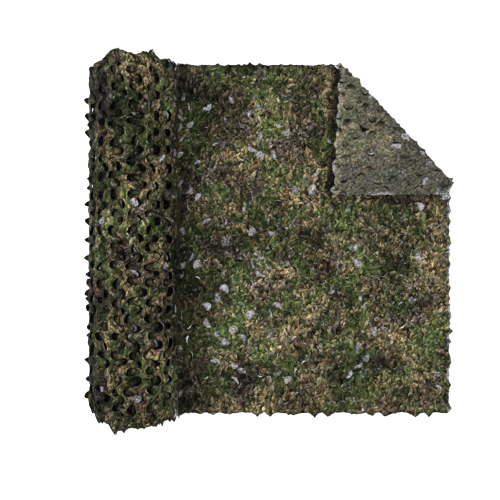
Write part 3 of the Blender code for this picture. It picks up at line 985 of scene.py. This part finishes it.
def roll_moods(u, v, facing):
    """The pull of the winding has opened the slits. Leaves dip into the holes or stand out."""
    draw = drawing(202, u.shape)
    turn = turn_of(u, v)
    pick = draw(0, 1)
    beside = smooth(1 - (np.abs(turn - 0.50) - 0.05) / 0.04)
    stands_out = draw(0, 1) < np.where(facing > 0, 0.85, 0.50)
    at_side = (np.abs(turn - 0.50) < 0.050) & stands_out & (near_end(v) < 0.8)
    at_flank = np.maximum(smooth(1 - (np.abs(turn - 0.48) - 0.09) / 0.05), smooth(1 - (turn - 0.13) / 0.05))
    closed = np.maximum(np.maximum(beside, near_end(v) * at_flank), smooth(1 - (turn - 0.03) / 0.03))
    near_seam = 1 - smooth((turn - 0.06) / 0.12)
    stands = np.where(at_side, draw(0.5, 1.7), draw(0.30, 1.2))
    is_down = (pick < 0.80) & ~at_side
    bend = np.where(is_down, -draw(0.35, 1.05), stands)
    bend = bend * np.where(at_side, 1.0, 1 - 0.85 * closed)
    lies_free = 1 - 0.95 * near_foot(turn)
    # painted light on leaves that stand out; those at the roll's sides get painted shade instead
    standing_light = draw(0.8, 2.6) * (1 - 0.6 * at_side)
    pinch = np.where(is_down, 0.05, draw(0.1, 0.45))
    pinch = np.where(at_side, draw(0.0, 0.6), pinch)
    return {
        "bend": bend * lies_free + 0.02,
        "twist": draw(-0.30, 0.30),
        "cup": np.where(is_down, 0.001, draw(-0.007, 0.0)) * lies_free,
        "fold": np.where(is_down, draw(0.008, 0.016), draw(0.005, 0.014)),
        "tip": draw(0.1, 1.2) * lies_free + 0.01,
        "pinch": pinch,
        "gap": draw(0.004, 0.010) * (1 - closed) - draw(0.0, 0.002) * closed,
        "lip": 0.0045 * lies_free,
        # painted shade on leaves that dip into the holes, painted light on those that stand out
        "tone": np.where(is_down, draw(0.02, 0.35), standing_light),
        "tone_from": np.where(is_down, draw(0.003, 0.013), -0.010),
        "tone_run": np.where(is_down, 0.008, 0.022),
        "tone_round": np.where(is_down, 1.0, 0.0),
        "body": draw(0.45, 1.30),
        # painted highlight along the band's edge at each slit
        "edge_tone": draw(1.4, 4.2),
        **pale_leaves(draw, (0.06 + 0.45 * near_seam) * (1 - near_end(v)) * ~at_side),
    }


def inner_moods(u, v, facing):
    """The turn below shows only through the holes, so its leaves hardly bend."""
    draw = drawing(303, u.shape)
    lies_free = 1 - 0.95 * near_foot(turn_of(u, v))
    return {
        "bend": draw(0.05, 0.25) * lies_free + 0.02,
        "twist": draw(-0.30, 0.30),
        "fold": 0.015,
        "tip": 0.05,
        "gap": draw(0.001, 0.004),
        "tone_from": 0.0,
        "gap_power": 3.0,
        **pale_leaves(draw, 0.0),
    }


def make_loose_end(cloths):
    last = math.floor((FREE_END_X + CORNER_FLARE + CORNER_SPREAD + 0.06) / HALF_U)
    pattern = diamonds(FIRST_COLUMN, last, LOOSE_SPOKES)
    item, turned = leafy_cloth("loose_end", pattern, LEAF_RADIUS, loose_moods)
    return dress(item, cloths, off_roll, turned)


def make_roll_wrap(cloths):
    pattern = columns(ROLL_END_U, int(ROLL_LENGTH / HALF_U / 2), ROLL_SPOKES)
    item, turned = leafy_cloth("roll_wrap", pattern, ROLL_LEAF_RADIUS, roll_moods, has_band_ring=True)
    return dress(item, cloths, from_axis, turned)


def make_roll_under(cloths):
    last = FIRST_COLUMN - 1
    pattern = diamonds(last - int(ROLL_LENGTH / HALF_U), last, UNDER_SPOKES, UNDER_SHIFT)
    item, turned = leafy_cloth("roll_under", pattern, UNDER_LEAF_RADIUS, inner_moods, UNDER_SINK)
    return dress(item, cloths, from_axis, turned)


COIL_OUTER = ROLL_RADIUS - CLOTH - 0.010  # the outermost of the turns inside
COIL_SPACING = 0.0078  # from one turn to the next
COIL_STEP = 0.007  # from one point to the next along the strip
COIL_DEPTHS = (0.050, 0.022, 0.008, 0.0)  # of the strip's rows of points, in from its cut edge
CORE_AROUND = 96  # points round the core
CORE_ALONG = 90  # rings of them
CORE_DEPTH = 0.023  # below the outer turn
CORE_MARGIN = 0.075  # from the netting's long edges


def make_roll_end(name, side, cloths):
    """The cut edges of the turns inside: one long strip that spirals in, ruffled and uneven."""
    outer = COIL_OUTER
    length = math.pi * outer * outer / COIL_SPACING
    distance = np.arange(0.0, length, COIL_STEP)
    radius = np.sqrt(np.maximum(outer * outer - distance * COIL_SPACING / math.pi, 1e-5))
    turn = (outer - radius) / COIL_SPACING
    share = radius / outer
    reach = rim_reach(turn % 1.0, side) * share
    edge = HALF_WIDTH + reach - 0.006 + 0.012 * ripples(distance, turn, 0.5, 51) * (1.2 - share)
    edge = edge + 0.012 * teeth(distance, 0.055, 61 + side)
    places = []
    uv = []
    for depth in COIL_DEPTHS:
        flare = 1 - depth / COIL_DEPTHS[0]
        wobble = 0.0028 * ripples(distance, 0 * distance + depth * 2, 0.07, 71) * flare
        slack = END_TAPER * smooth(1 - depth / END_TAPER_RUN) * share ** 6
        fitted = radius * (roll_radius(turn % 1.0, 0 * turn) + 0.006) / ROLL_RADIUS
        ring = np.maximum(fitted + wobble - slack, 0.002)
        angle = math.tau * turn
        height = AXIS_HEIGHT + ring * np.sin(angle)
        floor_gap = 0.004 + 0.3 * (outer - radius)
        v = side * (edge - depth)
        places.append(np.stack((ring * np.cos(angle), v, np.maximum(height, floor_gap)), axis=-1))
        uv.append(np.stack((-distance - 2.0, v), axis=-1))
    count = len(distance)
    polygons = []
    for row in range(len(COIL_DEPTHS) - 1):
        for index in range(count - 1):
            near = row * count + index
            corners = (near, near + 1, near + count + 1, near + count)
            polygons.append(corners if side < 0 else corners[::-1])
    item = cloth_object(name, np.concatenate(places), np.concatenate(uv), polygons)
    return dress(item, cloths, from_axis)


def make_core(material):
    """The bulk of the inner turns, dark with painted shade: a lumpy closed barrel well below the leaves."""
    around = CORE_AROUND
    along = CORE_ALONG
    turn = np.arange(around) / around
    places = []
    uv = []
    for row in np.linspace(-1, 1, along):
        v = row * (HALF_WIDTH - CORE_MARGIN)
        radius = roll_radius(turn, v * 0) - CORE_DEPTH + 0.002 * ripples(turn * 1.1, v, 0.08, 81)
        angle = math.tau * turn
        height = np.maximum(AXIS_HEIGHT + radius * np.sin(angle), 0.006)
        places.append(np.stack((radius * np.cos(angle), np.full(around, v), height), axis=-1))
        uv.append(np.stack((turn * 1.15, np.full(around, v)), axis=-1))
    polygons = []
    for row in range(along - 1):
        for index in range(around):
            after = (index + 1) % around
            near = row * around
            polygons.append((near + index, near + around + index, near + around + after, near + after))
    last = (along - 1) * around
    polygons.append(tuple(range(around)))
    polygons.append(tuple(last + index for index in reversed(range(around))))
    item = cloth_object("roll_core", np.concatenate(places), np.concatenate(uv), polygons)
    item.data.materials.append(material)
    return item


def dress_parts():
    cloths = (
        camouflage("print_side"),
        camouflage("reverse_side", washed=0.34),
        camouflage("leaf_reverse", washed=0.30, greyed=0.26),
    )
    # the print darkened nearly to black, as painted shade for the turns inside the roll and its core
    shaded = camouflage("print_in_painted_shade", gain=0.03)
    loose_end = make_loose_end(cloths)
    pieces = [loose_end, make_roll_wrap(cloths), make_roll_under((shaded, shaded, shaded))]
    pieces.append(make_core(shaded))
    pieces.append(make_roll_end("roll_end_far", 1, cloths))
    pieces.append(make_roll_end("roll_end_near", -1, cloths))
    for piece in pieces:
        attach(piece, "root")
    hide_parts("net_loose_end")
    for piece in pieces[1:]:
        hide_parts("net_roll")


# --------------------
# Studio


def make_floor():
    mesh = bpy.data.meshes.new("floor")
    corners = [(x * FLOOR_REACH, y * FLOOR_REACH, 0) for x, y in ((-1, -1), (1, -1), (1, 1), (-1, 1))]
    mesh.from_pydata(corners, [], [(0, 1, 2, 3)])
    floor = add_object("floor", mesh)
    material = bpy.data.materials.new("floor_paper")
    material.use_nodes = True
    shader = material.node_tree.nodes["Principled BSDF"]
    shader.inputs["Base Color"].default_value = (PAPER_LIGHTNESS, PAPER_LIGHTNESS, PAPER_LIGHTNESS, 1.0)
    shader.inputs["Roughness"].default_value = 0.9
    shader.inputs["Specular IOR Level"].default_value = 0.1
    mesh.materials.append(material)


def make_lights():
    world = bpy.data.worlds.new("studio")
    bpy.context.scene.world = world
    world.use_nodes = True
    background = world.node_tree.nodes["Background"]
    background.inputs["Color"].default_value = (1.0, 1.0, 1.0, 1.0)
    background.inputs["Strength"].default_value = SKY_STRENGTH
    light = bpy.data.lights.new("key", "AREA")
    light.energy = KEY_POWER
    light.shape = "SQUARE"
    light.size = KEY_SIZE
    key = add_object("key", light)
    key.location = KEY_PLACE
    key.rotation_euler = (KEY_AIM - KEY_PLACE).to_track_quat("-Z", "Y").to_euler()
    bpy.context.scene.view_settings.view_transform = "Standard"


def make_camera():
    camera = bpy.data.cameras.new("camera")
    camera.sensor_width = SENSOR
    camera.lens = SENSOR * CAMERA_HEIGHT / FRAME_WIDTH
    item = add_object("camera", camera)
    item.location = (VIEW_CENTRE[0], VIEW_CENTRE[1], CAMERA_HEIGHT)
    bpy.context.scene.camera = item


make_camera()
make_floor()
make_lights()
dress_parts()
